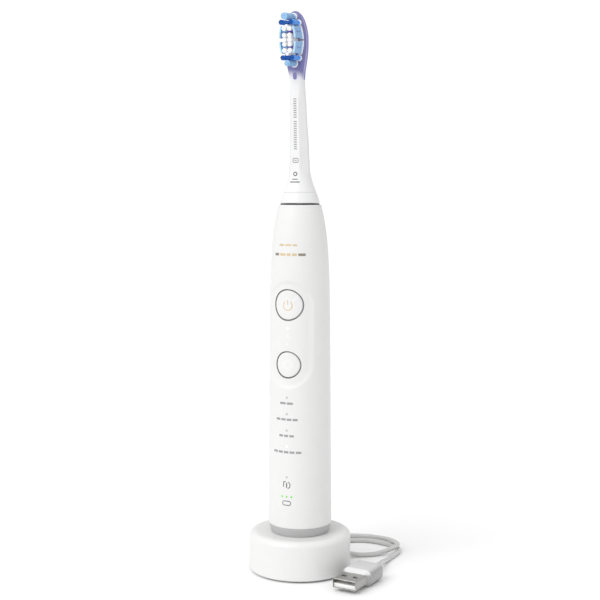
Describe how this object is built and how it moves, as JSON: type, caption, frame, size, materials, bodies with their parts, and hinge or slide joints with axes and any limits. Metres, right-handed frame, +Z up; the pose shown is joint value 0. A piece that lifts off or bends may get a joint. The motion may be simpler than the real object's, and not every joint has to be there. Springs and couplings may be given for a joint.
{
  "type": "electric toothbrush on charger",
  "caption": "Slim round electric toothbrush with push-on brush head, standing on a round charging puck with a thin lead and flat rectangular plug.",
  "frame": {"origin": "centre of the charger's underside, on the surface that it stands on", "axes": "+Z up along the handle, -Y towards the side with the buttons and bristles, +X to the right seen from that side"},
  "size_m": [0.0842, 0.0896, 0.2661],
  "materials": {
    "white_gloss": "satin white moulded plastic",
    "white_satin": "satin white moulded plastic of the brush head",
    "grey_plastic": "mid grey moulded plastic",
    "ring_grey": "thin grey button surround",
    "seal_dark": "dark soft seal",
    "foot_rubber": "grey anti-slip rubber",
    "lead_grey": "pale grey lead jacket",
    "plug_grey": "pale grey satin overmould",
    "nickel": "nickel plated steel",
    "contact_gold": "gold plated contact",
    "purple_plastic": "translucent purple plastic",
    "light_blue_bristle": "light blue nylon filaments",
    "dark_blue_bristle": "dark blue nylon filaments",
    "white_bristle": "white nylon filaments",
    "guard_rubber": "light blue soft rubber",
    "bar_purple": "dark purple soft rubber",
    "clear_guide": "diffusing light guide",
    "green_guide": "green lit light guide",
    "steel": "stainless steel",
    "copper": "enamelled copper wire or bronze bush",
    "ferrite": "dark sintered iron oxide or laminated iron",
    "board_green": "green circuit board",
    "component_black": "black moulded component",
    "inner_plastic": "unpainted inner moulding",
    "battery_wrap": "blue shrink wrap"
  },
  "bodies": {
    "charger": {"charger_shell": "white_gloss", "charger_base_plate": "inner_plastic", "charger_foot_ring": "foot_rubber", "charger_screws": "steel", "charger_circuit_board": "board_green", "charger_board_components": "component_black", "charger_bobbin": "inner_plastic", "charger_coil": "copper", "charger_ferrite_core": "ferrite", "strain_relief": "lead_grey", "cord_lead": "lead_grey", "cord_coil": "lead_grey", "cord_tie": "grey_plastic", "cord_run": "lead_grey", "usb_overmould": "plug_grey", "usb_metal_shell": "nickel", "usb_tongue": "white_satin", "usb_contacts": "contact_gold"},
    "handle": {"handle_housing": "white_gloss", "handle_end_cap": "grey_plastic", "end_cap_seal": "seal_dark", "receiver_coil": "copper", "battery": "battery_wrap", "battery_tabs": "steel", "inner_chassis": "inner_plastic", "handle_circuit_board": "board_green", "board_components": "component_black", "button_switches": "component_black", "intensity_light_guides": "clear_guide", "mode_light_guides": "clear_guide", "charge_light_guides": "green_guide", "power_button_ring": "ring_grey", "mode_button_ring": "ring_grey", "drive_frame": "inner_plastic", "lower_shaft_bearing": "copper", "upper_shaft_bearing": "copper", "torsion_bar": "steel", "stator_core": "ferrite", "stator_windings": "copper", "neck_seal": "seal_dark"},
    "drive": {"drive_shaft": "steel", "rotor_yoke": "steel", "rotor_magnets": "ferrite"},
    "brush_head": {"brush_neck": "white_satin", "neck_collar": "white_satin", "shaft_clip": "steel", "reminder_window": "purple_plastic", "brush_plate": "purple_plastic", "tuft_rims": "white_satin", "light_blue_tufts": "light_blue_bristle", "dark_blue_tufts": "dark_blue_bristle", "white_tufts": "white_bristle", "gum_guards": "guard_rubber", "guard_bars": "bar_purple"},
    "power_button": {"power_button_cap": "white_gloss"},
    "mode_button": {"mode_button_cap": "white_gloss"}
  },
  "joints": [
    {"name": "handle_lift", "type": "slide", "parent": "charger", "child": "handle", "axis": [0, 0, 1], "range_m": [0, 0.05]},
    {"name": "drive_swing", "type": "hinge", "parent": "handle", "child": "drive", "pos_m": [0, 0, 0.143], "axis": [0, 0, 1], "range_deg": [-4.5, 4.5], "stiffness_Nm_per_rad": 0.01},
    {"name": "brush_head_pull", "type": "slide", "parent": "drive", "child": "brush_head", "axis": [0, 0, 1], "range_m": [0, 0.025]},
    {"name": "power_button_press", "type": "slide", "parent": "handle", "child": "power_button", "axis": [0, 1, 0], "range_m": [0, 0.0005], "stiffness_N_per_m": 300},
    {"name": "mode_button_press", "type": "slide", "parent": "handle", "child": "mode_button", "axis": [0, 1, 0], "range_m": [0, 0.0005], "stiffness_N_per_m": 300}
  ]
}
